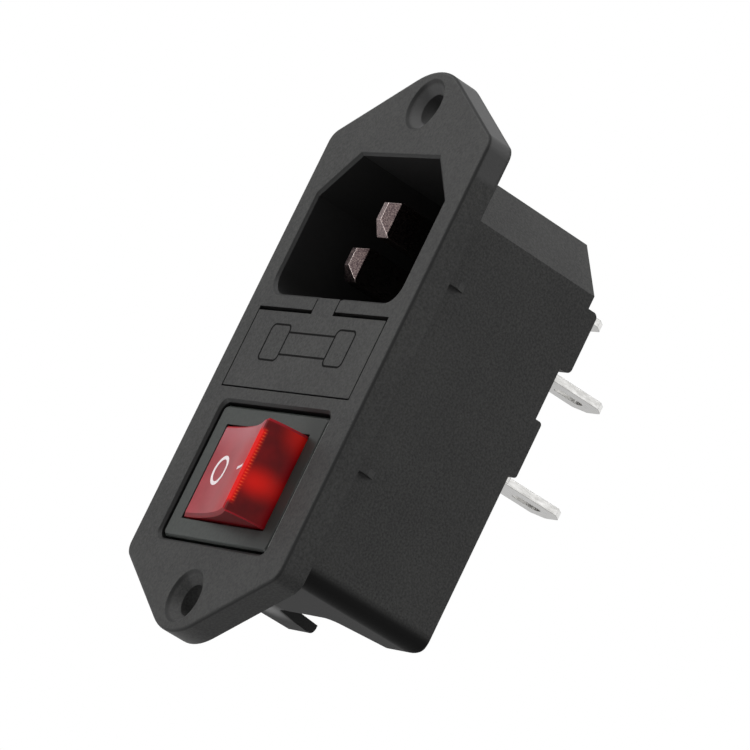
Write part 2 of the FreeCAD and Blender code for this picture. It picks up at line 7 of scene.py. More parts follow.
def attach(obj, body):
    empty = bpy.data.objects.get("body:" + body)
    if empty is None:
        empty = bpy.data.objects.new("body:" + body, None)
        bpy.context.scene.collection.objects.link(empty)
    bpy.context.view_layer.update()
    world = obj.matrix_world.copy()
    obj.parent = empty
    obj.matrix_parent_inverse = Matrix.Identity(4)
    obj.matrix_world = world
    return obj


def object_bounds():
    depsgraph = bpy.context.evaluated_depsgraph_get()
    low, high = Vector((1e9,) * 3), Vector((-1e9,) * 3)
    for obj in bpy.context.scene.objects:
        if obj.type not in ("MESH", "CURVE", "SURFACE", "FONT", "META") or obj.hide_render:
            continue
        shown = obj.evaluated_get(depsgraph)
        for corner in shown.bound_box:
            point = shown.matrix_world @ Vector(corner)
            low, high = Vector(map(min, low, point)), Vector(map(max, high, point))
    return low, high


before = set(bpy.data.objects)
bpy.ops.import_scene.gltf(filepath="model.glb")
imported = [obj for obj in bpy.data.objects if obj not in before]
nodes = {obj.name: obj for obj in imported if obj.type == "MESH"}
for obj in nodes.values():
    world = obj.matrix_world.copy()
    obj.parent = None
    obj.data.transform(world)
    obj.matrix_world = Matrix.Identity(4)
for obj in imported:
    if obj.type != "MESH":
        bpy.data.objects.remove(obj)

# Power entry module, dressed. Metres, in the frame of the solids: X right, Z up, the front faces -Y.
# Places and sizes in the dictionaries are millimetres, and a length with "* mm" is in metres.
cadLow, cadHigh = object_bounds()
mm = 0.001


# Nodes and materials

def toLinear(hexColour):
    channels = [int(hexColour[i:i + 2], 16) / 255 for i in (1, 3, 5)]
    return [c / 12.92 if c <= 0.04045 else ((c + 0.055) / 1.055) ** 2.4 for c in channels] + [1.0]


def addNode(tree, kind, settings=None, links=None):
    node = tree.nodes.new(kind)
    for name, value in (settings or {}).items():
        if name == "tones":
            for element, (position, colour) in zip(node.color_ramp.elements, value):
                element.position, element.color = position, toLinear(colour)
        elif isinstance(name, int) or name in node.inputs:
            node.inputs[name].default_value = value
        else:
            setattr(node, name, value)
    for name, source in (links or {}).items():
        tree.links.new(source, node.inputs[name])
    return node


def startMaterial(name):
    material = bpy.data.materials.new(name)
    material.use_nodes = True
    tree = material.node_tree
    tree.nodes.clear()
    place = addNode(tree, "ShaderNodeTexCoord").outputs["Object"]
    return material, tree, place


def finishMaterial(tree, settings, links):
    shader = addNode(tree, "ShaderNodeBsdfPrincipled", settings, links)
    addNode(tree, "ShaderNodeOutputMaterial", links={"Surface": shader.outputs[0]})


def cover(tree, masks):
    # where all masks are up: each is a socket, or a value with the millimetres where it starts and is full
    whole = None
    for mask in masks:
        if isinstance(mask, tuple):
            value, start, full = mask
            mask = addNode(tree, "ShaderNodeMapRange",
                           {"interpolation_type": "SMOOTHSTEP", "From Min": start * mm, "From Max": full * mm},
                           {"Value": value}).outputs["Result"]
        if whole is not None:
            mask = addNode(tree, "ShaderNodeMath", {"operation": "MULTIPLY"}, {0: whole, 1: mask}).outputs[0]
        whole = mask
    return whole


def paintOver(tree, under, over, *masks):
    # over is a hex colour or a socket, and inputs 6 and 7 are the two colours of the mix
    painted = addNode(tree, "ShaderNodeMix", {"data_type": "RGBA"}, {0: cover(tree, masks), 6: under})
    if isinstance(over, str):
        painted.inputs[7].default_value = toLinear(over)
    else:
        tree.links.new(over, painted.inputs[7])
    return painted.outputs[2]


def nearEdge(tree, radius, full):
    # the rounded and the flat normal agree on a face, and their product falls to full at an edge
    rounded = addNode(tree, "ShaderNodeBevel", {"samples": 6, "Radius": radius}).outputs["Normal"]
    flat = addNode(tree, "ShaderNodeNewGeometry").outputs["Normal"]
    facing = addNode(tree, "ShaderNodeVectorMath", {"operation": "DOT_PRODUCT"}, {0: rounded, 1: flat})
    return addNode(tree, "ShaderNodeMapRange", {"From Min": 1.0, "From Max": full},
                   {"Value": facing.outputs["Value"]}).outputs["Result"]


# Glass-filled nylon from a spark-eroded mould: a fine, even grain that kills the gloss. The grain is
# drawn coarser than its real 0.06 mm, so that it shows.
# Painted shade: a dark line along every edge, and a dark band on the shoulder just behind the front face
nylon = {"tones": ((0.36, "#242424"), (0.64, "#3c3c3b")), "grain": 0.24 * mm, "cloud": 9 * mm, "clouded": 0.25,
         "gloss": 0.2, "rough": 0.58, "ior": 1.52, "depth": 0.02 * mm, "edge": 0.10 * mm,
         "line": "#1d1d1d", "lineShadeWidth": 0.16 * mm, "lineShadeFull": 0.75,
         "shoulder": "#161616", "shoulderFrom": (-2.99, -2.94), "shoulderTo": (-2.6, -2.82)}

# The sloping sides over the upper screw hole are painted a shade lighter, as painted light
flangeCrestLight = {"colour": "#434343", "behind": (-2.78, -2.5), "above": (20.0, 20.8), "before": (-0.1, -0.4)}

# The keel and underside of the body are painted darker as painted shade, and made less glossy, with one painted
# reflection as a light patch
underside = {"colour": "#171717", "duller": 0.72, "behind": (0.1, 0.4), "below": (-21.0, -22.3),
             "paintedReflection": "#a0a0a0", "paintedReflectionAt": (-7.6, 9.6, -23.6), "paintedReflectionSize": (4.4, 0.6),
             "paintedReflectionUp": (-23.45, -23.57)}

# The inlet cavity is painted dark as painted shade, since hardly any light gets down to it
cavity = {"colour": "#222222", "middle": (0.0, 6.05, 13.95), "half": (12.8, 9.03, 8.7), "corner": 30.3,
          "fade": 0.2 * mm}

# The switch recess behind the key's frame is painted dark as painted shade too, and its corners aren't cut
recess = {"colour": "#0d0d0d", "middle": (0.0, 6.0, -14.65), "half": (11.0, 8.94, 8.0), "corner": 99.0,
          "fade": 0.25 * mm}


def insideBox(tree, place, box):
    offset = addNode(tree, "ShaderNodeVectorMath",
                     {"operation": "SUBTRACT", 1: [c * mm for c in box["middle"]]}, {0: place})
    reach = addNode(tree, "ShaderNodeVectorMath", {"operation": "ABSOLUTE"}, {0: offset.outputs["Vector"]})
    past = addNode(tree, "ShaderNodeVectorMath",
                   {"operation": "SUBTRACT", 1: [c * mm for c in box["half"]]}, {0: reach.outputs["Vector"]})
    sides = addNode(tree, "ShaderNodeSeparateXYZ", links={0: past.outputs["Vector"]})
    across = addNode(tree, "ShaderNodeSeparateXYZ", links={0: reach.outputs["Vector"]})
    height = addNode(tree, "ShaderNodeSeparateXYZ", links={0: place})
    corner = addNode(tree, "ShaderNodeMath", {"operation": "ADD"},
                     {0: across.outputs["X"], 1: height.outputs["Z"]})
    pastCorner = addNode(tree, "ShaderNodeMath", {"operation": "SUBTRACT", 1: box["corner"] * mm},
                         {0: corner.outputs[0]})
    widest = addNode(tree, "ShaderNodeMath", {"operation": "MAXIMUM"},
                     {0: sides.outputs["X"], 1: sides.outputs["Z"]})
    widest = addNode(tree, "ShaderNodeMath", {"operation": "MAXIMUM"},
                     {0: widest.outputs[0], 1: pastCorner.outputs[0]})
    outside = addNode(tree, "ShaderNodeMath", {"operation": "GREATER_THAN", 1: 0.0}, {0: widest.outputs[0]})
    deep = addNode(tree, "ShaderNodeMapRange", {"From Min": 0.0, "From Max": -box["fade"]},
                   {"Value": sides.outputs["Y"]})
    return addNode(tree, "ShaderNodeMath", {"operation": "SUBTRACT", "use_clamp": True},
                   {0: deep.outputs["Result"], 1: outside.outputs[0]}).outputs[0]


def sparkMouldedNylon(name, look, hollow=None):
    material, tree, place = startMaterial(name)
    where = addNode(tree, "ShaderNodeSeparateXYZ", links={0: place}).outputs
    grain = addNode(tree, "ShaderNodeTexNoise", {"Scale": 1 / look["grain"], "Detail": 3.0, "Roughness": 0.6},
                    {"Vector": place}).outputs["Fac"]
    cloud = addNode(tree, "ShaderNodeTexNoise", {"Scale": 1 / look["cloud"], "Detail": 2.0},
                    {"Vector": place}).outputs["Fac"]
    both = addNode(tree, "ShaderNodeMix", {"data_type": "FLOAT", "Factor": look["clouded"]},
                   {"A": grain, "B": cloud})
    colour = addNode(tree, "ShaderNodeValToRGB", {"tones": look["tones"]},
                     {"Fac": both.outputs[0]}).outputs["Color"]
    # painted shade: a dark line along the edges
    if "line" in look:
        colour = paintOver(tree, colour, look["line"], nearEdge(tree, look["lineShadeWidth"], look["lineShadeFull"]))
    # painted shade towards the right side, and a painted highlight along the right edge
    if "litEdge" in look:
        colour = paintOver(tree, colour, look["shade"], (where["X"], *look["shadeFrom"]))
        colour = paintOver(tree, colour, look["litEdge"], (where["X"], *look["litFrom"]))
    # painted shade: a dark band on the shoulder just behind the front face
    if "shoulder" in look:
        colour = paintOver(tree, colour, look["shoulder"], (where["Y"], *look["shoulderFrom"]),
                           (where["Y"], *look["shoulderTo"]))
    if hollow:
        # painted light: the sloping sides over the upper screw hole are lighter
        colour = paintOver(tree, colour, flangeCrestLight["colour"], (where["Y"], *flangeCrestLight["behind"]),
                           (where["Z"], *flangeCrestLight["above"]), (where["Y"], *flangeCrestLight["before"]))
        # painted shade on the keel and underside, which are also made less glossy
        below = cover(tree, [(where["Y"], *underside["behind"]), (where["Z"], *underside["below"])])
        colour = paintOver(tree, colour, underside["colour"], below)
        duller = addNode(tree, "ShaderNodeMath",
                         {"operation": "MULTIPLY_ADD", 1: -underside["duller"] * look["gloss"],
                          2: look["gloss"]}, {0: below})
        # painted reflection: a light patch on the underside
        away = addNode(tree, "ShaderNodeVectorMath",
                       {"operation": "DISTANCE", 1: [c * mm for c in underside["paintedReflectionAt"]]}, {0: place})
        colour = paintOver(tree, colour, underside["paintedReflection"], (away.outputs["Value"], *underside["paintedReflectionSize"]),
                           (where["Z"], *underside["paintedReflectionUp"]))
        # painted shade in the inlet cavity and in the switch recess
        for box in hollow:
            colour = paintOver(tree, colour, box["colour"], insideBox(tree, place, box))
    edge = addNode(tree, "ShaderNodeBevel", {"samples": 4, "Radius": look["edge"]})
    bump = addNode(tree, "ShaderNodeBump", {"Strength": 1.0, "Distance": look["depth"]},
                   {"Height": grain, "Normal": edge.outputs["Normal"]})
    links = {"Base Color": colour, "Normal": bump.outputs["Normal"]}
    if hollow:
        links["Specular IOR Level"] = duller.outputs[0]
    finishMaterial(tree, {"Roughness": look["rough"], "IOR": look["ior"], "Specular IOR Level": look["gloss"]},
                   links)
    return material


# Nylon from a polished mould: satin, with a slightly green grey. Painted darker towards its right side as
# painted shade, with a painted highlight along its right edge
bezelNylon = {"tones": ((0.36, "#2a2e2c"), (0.64, "#363a37")), "grain": 0.4 * mm, "cloud": 7 * mm,
              "clouded": 0.25, "gloss": 0.22, "rough": 0.4, "ior": 1.52, "depth": 0.003 * mm, "edge": 0.12 * mm,
              "litEdge": "#a3a6a3", "litFrom": (10.36, 10.4), "shade": "#1c1f1d", "shadeFrom": (4.5, 9.0)}

# Polycarbonate tinted red, polished: paler towards the top as a painted reflection of the room, with a darker
# end wall, and a painted glow in the end wall and along the raised edge. Places are along, into and across the
# key.
redPolycarbonate = {
    "turn": 15.0, "pivot": -1.08, "middle": -14.7, "wallFrom": (6.95, 7.05), "endFrom": (4.95, 5.05),
    "face": ((0.3, "#9d1d2a"), (0.7, "#b0303d")), "faceReflection": "#bc6069", "faceReflectionFrom": (-13.4, -9.2),
    "faceFar": "#c41422", "faceFarFrom": (-2.0, 7.0), "endFace": "#b5202c",
    "deep": ((0.3, "#5e070c"), (0.7, "#900d13")), "base": "#b8101c", "baseFrom": (-0.9, 0.9),
    "glow": "#ff2015", "heart": (7.3, -1.3, -15.9), "heartSize": (2.4, 0.3), "heartStretch": (1, 0.62, 1),
    "heartGlow": 0.07, "corner": (8.2, 0.6, -9.6), "cornerSize": (3.4, 0.4),
    "rim": (6.95, -3.62, 0.0), "rimWidth": (0.82, 0.3), "rimHalf": (4.35, 3.7), "rimGlow": 0.26,
    "strip": ((0.0, "#dc0e08"), (1.0, "#ff5a30")), "prism": 0.34 * mm, "prismFrom": (0.3, 0.5),
    "prismShape": ((0.55, "#000000"), (0.85, "#ffffff")), "prismWaver": 0.6,
    "cloud": 3 * mm, "rough": 0.3, "gloss": 0.07, "ior": 1.58, "clear": 0.12,
    "milky": 0.15, "milkyReach": (1.0, 0.12, 0.12), "milkyDepth": 0.6 * mm}


def tintedPolycarbonate(name, look):
    material, tree, place = startMaterial(name)
    turn = math.radians(look["turn"])
    back = Matrix.Rotation(turn, 3, "Z") @ Vector((0, -look["pivot"] * mm, 0))
    along = addNode(tree, "ShaderNodeMapping", {"Rotation": (0, 0, turn), "Location": back},
                    {"Vector": place}).outputs["Vector"]
    where = addNode(tree, "ShaderNodeSeparateXYZ", links={0: along}).outputs
    cloud = addNode(tree, "ShaderNodeTexNoise", {"Scale": 1 / look["cloud"], "Detail": 3.0},
                    {"Vector": place}).outputs["Fac"]
    face = addNode(tree, "ShaderNodeValToRGB", {"tones": look["face"]}, {"Fac": cloud}).outputs["Color"]
    face = paintOver(tree, face, look["faceFar"], (where["X"], *look["faceFarFrom"]))
    face = paintOver(tree, face, look["faceReflection"], (where["Z"], *look["faceReflectionFrom"]))

    # the end wall is darker red, brighter at its base, with a painted glow at its heart and in its upper corner
    wall = addNode(tree, "ShaderNodeValToRGB", {"tones": look["deep"]}, {"Fac": cloud}).outputs["Color"]
    wall = paintOver(tree, wall, look["base"], (where["Y"], *look["baseFrom"]))
    offset = addNode(tree, "ShaderNodeVectorMath",
                     {"operation": "SUBTRACT", 1: [c * mm for c in look["heart"]]}, {0: along})
    offset = addNode(tree, "ShaderNodeVectorMath", {"operation": "MULTIPLY", 1: look["heartStretch"]},
                     {0: offset.outputs["Vector"]})
    away = addNode(tree, "ShaderNodeVectorMath", {"operation": "LENGTH"}, {0: offset.outputs["Vector"]})
    heart = cover(tree, [(away.outputs["Value"], *look["heartSize"])])
    wall = paintOver(tree, wall, look["glow"], heart)
    away = addNode(tree, "ShaderNodeVectorMath",
                   {"operation": "DISTANCE", 1: [c * mm for c in look["corner"]]}, {0: along})
    wall = paintOver(tree, wall, look["glow"], (away.outputs["Value"], *look["cornerSize"]))

    across = addNode(tree, "ShaderNodeMath", {"operation": "SUBTRACT", 1: look["middle"] * mm}, {0: where["Z"]})
    across = addNode(tree, "ShaderNodeMath", {"operation": "ABSOLUTE"}, {0: across.outputs[0]}).outputs[0]
    colour = paintOver(tree, face, wall, (where["X"], *look["wallFrom"]))
    colour = paintOver(tree, colour, look["endFace"], (across, *look["endFrom"]))

    # the strip along the raised edge gets a painted highlight and glow, brighter still on its row of prisms
    level = addNode(tree, "ShaderNodeMapping", {"Scale": (1, 1, 0)}, {"Vector": along})
    rim = addNode(tree, "ShaderNodeVectorMath",
                  {"operation": "DISTANCE", 1: [c * mm for c in look["rim"]]},
                  {0: level.outputs["Vector"]}).outputs["Value"]
    lit = cover(tree, [(rim, *look["rimWidth"]), (across, *look["rimHalf"])])
    # a wave of scale 1 comes back after 2 pi / 20
    bands = addNode(tree, "ShaderNodeTexWave",
                    {"bands_direction": "Z", "Scale": 2 * math.pi / (20 * look["prism"]),
                     "Distortion": look["prismWaver"]}, {"Vector": place})
    prisms = addNode(tree, "ShaderNodeValToRGB", {"tones": look["prismShape"]}, {"Fac": bands.outputs["Fac"]})
    bright = cover(tree, [(rim, *look["prismFrom"]), prisms.outputs["Color"]])
    strip = addNode(tree, "ShaderNodeValToRGB", {"tones": look["strip"]}, {"Fac": bright})
    colour = paintOver(tree, colour, strip.outputs["Color"], lit)

    # painted glow: emission from the heart of the end wall and from the lit strip
    glow = addNode(tree, "ShaderNodeMath", {"operation": "MULTIPLY", 1: look["heartGlow"]}, {0: heart})
    glow = addNode(tree, "ShaderNodeMath", {"operation": "MULTIPLY_ADD", 1: look["rimGlow"]},
                   {0: lit, 2: glow.outputs[0]})
    finishMaterial(tree, {"Roughness": look["rough"], "IOR": look["ior"], "Specular IOR Level": look["gloss"],
                          "Subsurface Weight": look["milky"], "Subsurface Radius": look["milkyReach"],
                          "Subsurface Scale": look["milkyDepth"], "Transmission Weight": look["clear"]},
                   {"Base Color": colour, "Emission Color": colour, "Emission Strength": glow.outputs[0]})
    return material


# Nickel on brass, stamped: warm silver with faint lines from the rolled strip. Faces that look up or down are
# painted darker and its edges get a dark line, as painted shade, and the pin tips' edges get a painted
# highlight. The pin tips are speckled where plugs have scuffed them. Lines and speckle are drawn coarser than
# they are, so that they show.
nickel = {"tones": ((0.3, "#c8c7c4"), (0.7, "#efeeec")), "line": 0.25 * mm, "stretch": 0.3,
          "rough": (0.196, 0.392), "flat": "#a3a2a0", "flatShadeFrom": (0.6, 0.8),
          "edge": 0.12 * mm, "edgeShade": "#7e7c79", "edgeShadeFull": 0.85,
          "tip": ((0.42, "#54474a"), (0.66, "#93837f")), "speckle": 0.13 * mm,
          "tipHighlight": "#d5c8c4", "tipHighlightFull": 0.8,
          "inside": "#746f6c", "insideFrom": (1.9, 2.4), "insideTo": (14.5, 15.0)}

# Cup drawn from brass and nickel-plated: an even silver, smoother than the blades
fuseCap = {"tones": ((0.3, "#b9b8b5"), (0.7, "#e6e5e3")), "line": 0.3 * mm, "stretch": 1.0,
           "rough": (0.168, 0.336)}

# Bright-drawn steel wire: a darker, cooler grey
steelWire = {"tones": ((0.3, "#8f9092"), (0.7, "#c6c7c9")), "line": 0.2 * mm, "stretch": 1.0,
             "rough": (0.196, 0.392)}

# Brass strip, rolled: yellow, with fine lines along its length
brassStrip = {"tones": ((0.3, "#b08d4a"), (0.7, "#d8bb78")), "line": 0.3 * mm, "stretch": 0.1,
              "rough": (0.21, 0.42)}

# Silver rivet, cold-headed: nearly white and smooth
silverRivet = {"tones": ((0.3, "#cfcfcd"), (0.7, "#ecebe8")), "line": 0.3 * mm, "stretch": 1.0,
               "rough": (0.14, 0.28)}


def platedStrip(name, look):
    material, tree, place = startMaterial(name)
    lengthways = addNode(tree, "ShaderNodeMapping", {"Scale": (1.0, look["stretch"], 1.0)}, {"Vector": place})
    lines = addNode(tree, "ShaderNodeTexNoise", {"Scale": 1 / look["line"], "Detail": 4.0},
                    {"Vector": lengthways.outputs["Vector"]}).outputs["Fac"]
    rough = addNode(tree, "ShaderNodeMapRange", {"To Min": look["rough"][0], "To Max": look["rough"][1]},
                    {"Value": lines})
    colour = addNode(tree, "ShaderNodeValToRGB", {"tones": look["tones"]}, {"Fac": lines}).outputs["Color"]
    links = {"Roughness": rough.outputs["Result"]}
    # painted shade: faces that look up or down are darker, and the edges get a dark line
    if "flat" in look:
        normal = addNode(tree, "ShaderNodeNewGeometry").outputs["True Normal"]
        rise = addNode(tree, "ShaderNodeSeparateXYZ", links={0: normal}).outputs["Z"]
        rise = addNode(tree, "ShaderNodeMath", {"operation": "ABSOLUTE"}, {0: rise})
        level = addNode(tree, "ShaderNodeMapRange",
                        {"From Min": look["flatShadeFrom"][0], "From Max": look["flatShadeFrom"][1]},
                        {"Value": rise.outputs[0]})
        colour = paintOver(tree, colour, look["flat"], level.outputs["Result"])
        colour = paintOver(tree, colour, look["edgeShade"], nearEdge(tree, look["edge"], look["edgeShadeFull"]))
    if "inside" in look:
        # scuffed at the tips, with a painted highlight along their edges, and painted shade where the blades
        # stand down in the cavity
        depth = addNode(tree, "ShaderNodeSeparateXYZ", links={0: place}).outputs["Y"]
        scuffs = addNode(tree, "ShaderNodeTexNoise", {"Scale": 1 / look["speckle"], "Detail": 3.0},
                         {"Vector": place}).outputs["Fac"]
        tip = addNode(tree, "ShaderNodeValToRGB", {"tones": look["tip"]}, {"Fac": scuffs}).outputs["Color"]
        tip = paintOver(tree, tip, look["tipHighlight"], nearEdge(tree, look["edge"], look["tipHighlightFull"]))
        inside = paintOver(tree, tip, look["inside"], (depth, *look["insideFrom"]))
        colour = paintOver(tree, inside, colour, (depth, *look["insideTo"]))
        edge = addNode(tree, "ShaderNodeBevel", {"samples": 6, "Radius": look["edge"]})
        links["Normal"] = edge.outputs["Normal"]
    links["Base Color"] = colour
    finishMaterial(tree, {"Metallic": 1.0}, links)
    return material


# Borosilicate tube, drawn: clear with a faint green edge, and hardly wavy
tubeGlass = {"tint": "#eef5f1", "rough": 0.03, "ior": 1.47, "clear": 0.95, "wave": 3 * mm, "depth": 0.01 * mm,
             "wavy": 0.4}


def drawnGlass(name, look):
    material, tree, place = startMaterial(name)
    waves = addNode(tree, "ShaderNodeTexNoise", {"Scale": 1 / look["wave"], "Detail": 1.0}, {"Vector": place})
    bump = addNode(tree, "ShaderNodeBump", {"Strength": look["wavy"], "Distance": look["depth"]},
                   {"Height": waves.outputs["Fac"]})
    finishMaterial(tree, {"Base Color": toLinear(look["tint"]), "Roughness": look["rough"], "IOR": look["ior"],
                          "Transmission Weight": look["clear"]}, {"Normal": bump.outputs["Normal"]})
    return material


# White acetal, moulded: milky, with a soft sheen
acetal = {"tones": ((0.3, "#d6d4cc"), (0.7, "#e6e4dc")), "speckle": 0.2 * mm, "rough": 0.4, "gloss": 0.5}

# Resistor body dipped in lacquer: tan and half glossy
lacquer = {"tones": ((0.3, "#a98a5c"), (0.7, "#c2a675")), "speckle": 0.2 * mm, "rough": 0.35, "gloss": 0.5}

# Foil stamped hot into the key: white, with a trace of the red under it
stampedFoil = {"tones": ((0.3, "#f4e2e6"), (0.7, "#fdf3f5")), "speckle": 0.2 * mm, "rough": 0.4, "gloss": 0.5}

# Line engraved in the lid: the same nylon, painted dark as painted shade because little light gets in
engravingShade = {"tones": ((0.3, "#070707"), (0.7, "#0d0d0d")), "speckle": 0.2 * mm, "rough": 0.7, "gloss": 0.05}


def plainFinish(name, look):
    material, tree, place = startMaterial(name)
    speckle = addNode(tree, "ShaderNodeTexNoise", {"Scale": 1 / look["speckle"], "Detail": 3.0},
                      {"Vector": place})
    colour = addNode(tree, "ShaderNodeValToRGB", {"tones": look["tones"]}, {"Fac": speckle.outputs["Fac"]})
    finishMaterial(tree, {"Roughness": look["rough"], "Specular IOR Level": look["gloss"]},
                   {"Base Color": colour.outputs["Color"]})
    return material


finishes = {
    "housing": sparkMouldedNylon("spark-moulded nylon", nylon, [cavity, recess]),
    "drawer": sparkMouldedNylon("spark-moulded nylon lid", nylon),
    "bezel": sparkMouldedNylon("satin nylon", bezelNylon),
    "rocker": tintedPolycarbonate("red polycarbonate", redPolycarbonate),
    "nickel": platedStrip("nickel-plated strip", nickel),
    "cap": platedStrip("nickel-plated cap", fuseCap),
    "glass": drawnGlass("tube glass", tubeGlass),
    "steel": platedStrip("bright steel wire", steelWire),
    "brass": platedStrip("rolled brass", brassStrip),
    "silver": platedStrip("silver contact", silverRivet),
    "acetal": plainFinish("white acetal", acetal),
    "lacquer": plainFinish("lacquered resistor", lacquer),
    "ink": plainFinish("hot-stamped foil", stampedFoil),
    "engraving": plainFinish("engraved line", engravingShade),
}
finishOf = {
    "housing": "housing", "drawer": "drawer", "switch_frame": "bezel", "rocker": "rocker",
    "earth_pin": "nickel", "line_pin": "nickel", "neutral_pin": "nickel", "fuse_contact": "nickel",
    "fuse_glass": "glass",
    "fuse_cap": "cap", "fuse_wire": "steel", "spare_glass": "glass", "spare_cap": "cap",
    "spare_wire": "steel", "plunger_spring": "steel", "plunger": "acetal", "bridge": "brass",
    "moving_rivet": "silver", "fixed_rivet": "silver", "centre_terminal": "nickel", "end_terminal": "nickel",
    "neon_tube": "glass", "electrode": "steel", "lamp_lead": "steel", "resistor_lead": "steel",
    "resistor": "lacquer",
}
for name, node in nodes.items():
    start = max((key for key in finishOf if name.startswith(key)), key=len)
    node.data.materials.clear()
    node.data.materials.append(finishes[finishOf[start]])
print("materials on", len(nodes), "nodes")


# Signs: hot-stamped O and I on the key, and the outline of a fuse engraved on the lid

def newPiece(name, mesh, body, finish):
    data = bpy.data.meshes.new(name)
    bmesh.ops.recalc_face_normals(mesh, faces=mesh.faces)
    mesh.to_mesh(data)
    mesh.free()
    piece = bpy.data.objects.new(name, data)
    bpy.context.scene.collection.objects.link(piece)
    piece.data.materials.append(finishes[finish])
    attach(piece, body)
    return piece


def thicken(mesh, lift):
    raised = bmesh.ops.extrude_face_region(mesh, geom=list(mesh.faces))
    top = [v for v in raised["geom"] if isinstance(v, bmesh.types.BMVert)]
    bmesh.ops.translate(mesh, vec=lift, verts=top)


# millimetres, along the key's chord and up, as on a flat face, then laid into the dish
keyFace = {"turn": 15.0, "pivot": -1.08, "top": 3.9, "dish": 0.75, "halfChord": 7.099, "lift": 0.03}
ringMark = {"middle": (-3.26, -14.63), "outer": 1.67, "inner": 1.25, "steps": 72}
barMark = {"from": 2.7, "to": 5.8, "up": -14.66, "width": 0.34, "steps": 12}
standing = Matrix.Rotation(math.radians(90), 4, "X")  # turns a flat shape upright, to face the front


def layInDish(mesh, face):
    radius = (face["halfChord"] ** 2 + face["dish"] ** 2) / (2 * face["dish"])
    for v in mesh.verts:
        v.co.y += face["dish"] - face["top"] - radius + math.sqrt(radius ** 2 - v.co.x ** 2)
    bmesh.ops.rotate(mesh, verts=mesh.verts, cent=(0, 0, 0),
                     matrix=Matrix.Rotation(-math.radians(face["turn"]), 3, "Z"))
    bmesh.ops.translate(mesh, vec=(0, face["pivot"], 0), verts=mesh.verts)
    bmesh.ops.scale(mesh, vec=(mm, mm, mm), verts=mesh.verts)


ring = bmesh.new()
bmesh.ops.create_circle(ring, segments=ringMark["steps"], radius=ringMark["outer"], matrix=standing)
inner = bmesh.ops.extrude_edge_only(ring, edges=list(ring.edges))
innerVerts = [v for v in inner["geom"] if isinstance(v, bmesh.types.BMVert)]
shrink = ringMark["inner"] / ringMark["outer"]
bmesh.ops.scale(ring, vec=(shrink, 1, shrink), verts=innerVerts)
bmesh.ops.translate(ring, vec=(ringMark["middle"][0], keyFace["lift"], ringMark["middle"][1]), verts=ring.verts)
thicken(ring, (0, -2 * keyFace["lift"], 0))
layInDish(ring, keyFace)
newPiece("mark_off", ring, "rocker", "ink")

bar = bmesh.new()
bmesh.ops.create_grid(bar, x_segments=barMark["steps"], y_segments=1, size=0.5, matrix=standing)
bmesh.ops.scale(bar, vec=(barMark["to"] - barMark["from"], 1, barMark["width"]), verts=bar.verts)
bmesh.ops.translate(bar, vec=((barMark["from"] + barMark["to"]) / 2, keyFace["lift"], barMark["up"]),
                    verts=bar.verts)
thicken(bar, (0, -2 * keyFace["lift"], 0))
layInDish(bar, keyFace)
newPiece("mark_on", bar, "rocker", "ink")

# millimetres on the lid's front face
fuseSign = {"front": -3.0, "lift": 0.012, "line": 0.22, "capLeft": (-8.3, -4.55), "capRight": (4.55, 8.2),
            "capUp": (-1.85, 2.25), "tubeUp": (-1.08, 1.45), "corner": 0.65, "steps": 24}


def layAt(mesh, verts, left, right, low, high):
    middle = ((left + right) / 2, fuseSign["front"] + fuseSign["lift"], (low + high) / 2)
    bmesh.ops.translate(mesh, vec=middle, verts=verts)


def layLine(mesh, left, right, low, high):
    made = bmesh.ops.create_grid(mesh, x_segments=1, y_segments=1, size=0.5, matrix=standing)["verts"]
    bmesh.ops.scale(mesh, vec=(right - left, 1, high - low), verts=made)
    layAt(mesh, made, left, right, low, high)


def layOutline(mesh, left, right, low, high):
    # two circles whose quarters are drawn apart to the corners, then bridged
    half, edges = fuseSign["line"] / 2, []
    halfStep = Matrix.Rotation(math.pi / fuseSign["steps"], 4, "Z")
    for radius in (fuseSign["corner"] + half, fuseSign["corner"] - half):
        made = bmesh.ops.create_circle(mesh, segments=fuseSign["steps"], radius=radius,
                                       matrix=standing @ halfStep)["verts"]
        for v in made:
            v.co.x += math.copysign((right - left) / 2 - fuseSign["corner"], v.co.x)
            v.co.z += math.copysign((high - low) / 2 - fuseSign["corner"], v.co.z)
        layAt(mesh, made, left, right, low, high)
        edges += list({e for v in made for e in v.link_edges})
    bmesh.ops.bridge_loops(mesh, edges=edges)


# the engraving is drawn as thin dark strips just proud of the lid, painted shade for its grooves
sign = bmesh.new()
half = fuseSign["line"] / 2
for left, right in (fuseSign["capLeft"], fuseSign["capRight"]):
    layOutline(sign, left, right, *fuseSign["capUp"])
for z in fuseSign["tubeUp"]:
    layLine(sign, fuseSign["capLeft"][1] + half, fuseSign["capRight"][0] - half, z - half, z + half)
thicken(sign, (0, -2 * fuseSign["lift"], 0))
bmesh.ops.scale(sign, vec=(mm, mm, mm), verts=sign.verts)
newPiece("fuse_sign", sign, "fuse_drawer", "engraving")
print("signs laid on the key and the lid")


# Camera, lights and floor

camera = {"place": (453.4, -250.4, -105.8), "turn": (102.898, -25.375, 54.942), "lens": 250.53, "sensor": 36.0,
          "nearest": 0.05, "furthest": 20}
cameraData = bpy.data.cameras.new("camera")
cameraData.lens, cameraData.sensor_width = camera["lens"], camera["sensor"]
cameraData.clip_start, cameraData.clip_end = camera["nearest"], camera["furthest"]
cameraObject = bpy.data.objects.new("camera", cameraData)
cameraObject.location = Vector(camera["place"]) * mm
cameraObject.rotation_euler = Euler([math.radians(a) for a in camera["turn"]], "XYZ")
bpy.context.scene.collection.objects.link(cameraObject)
bpy.context.scene.camera = cameraObject

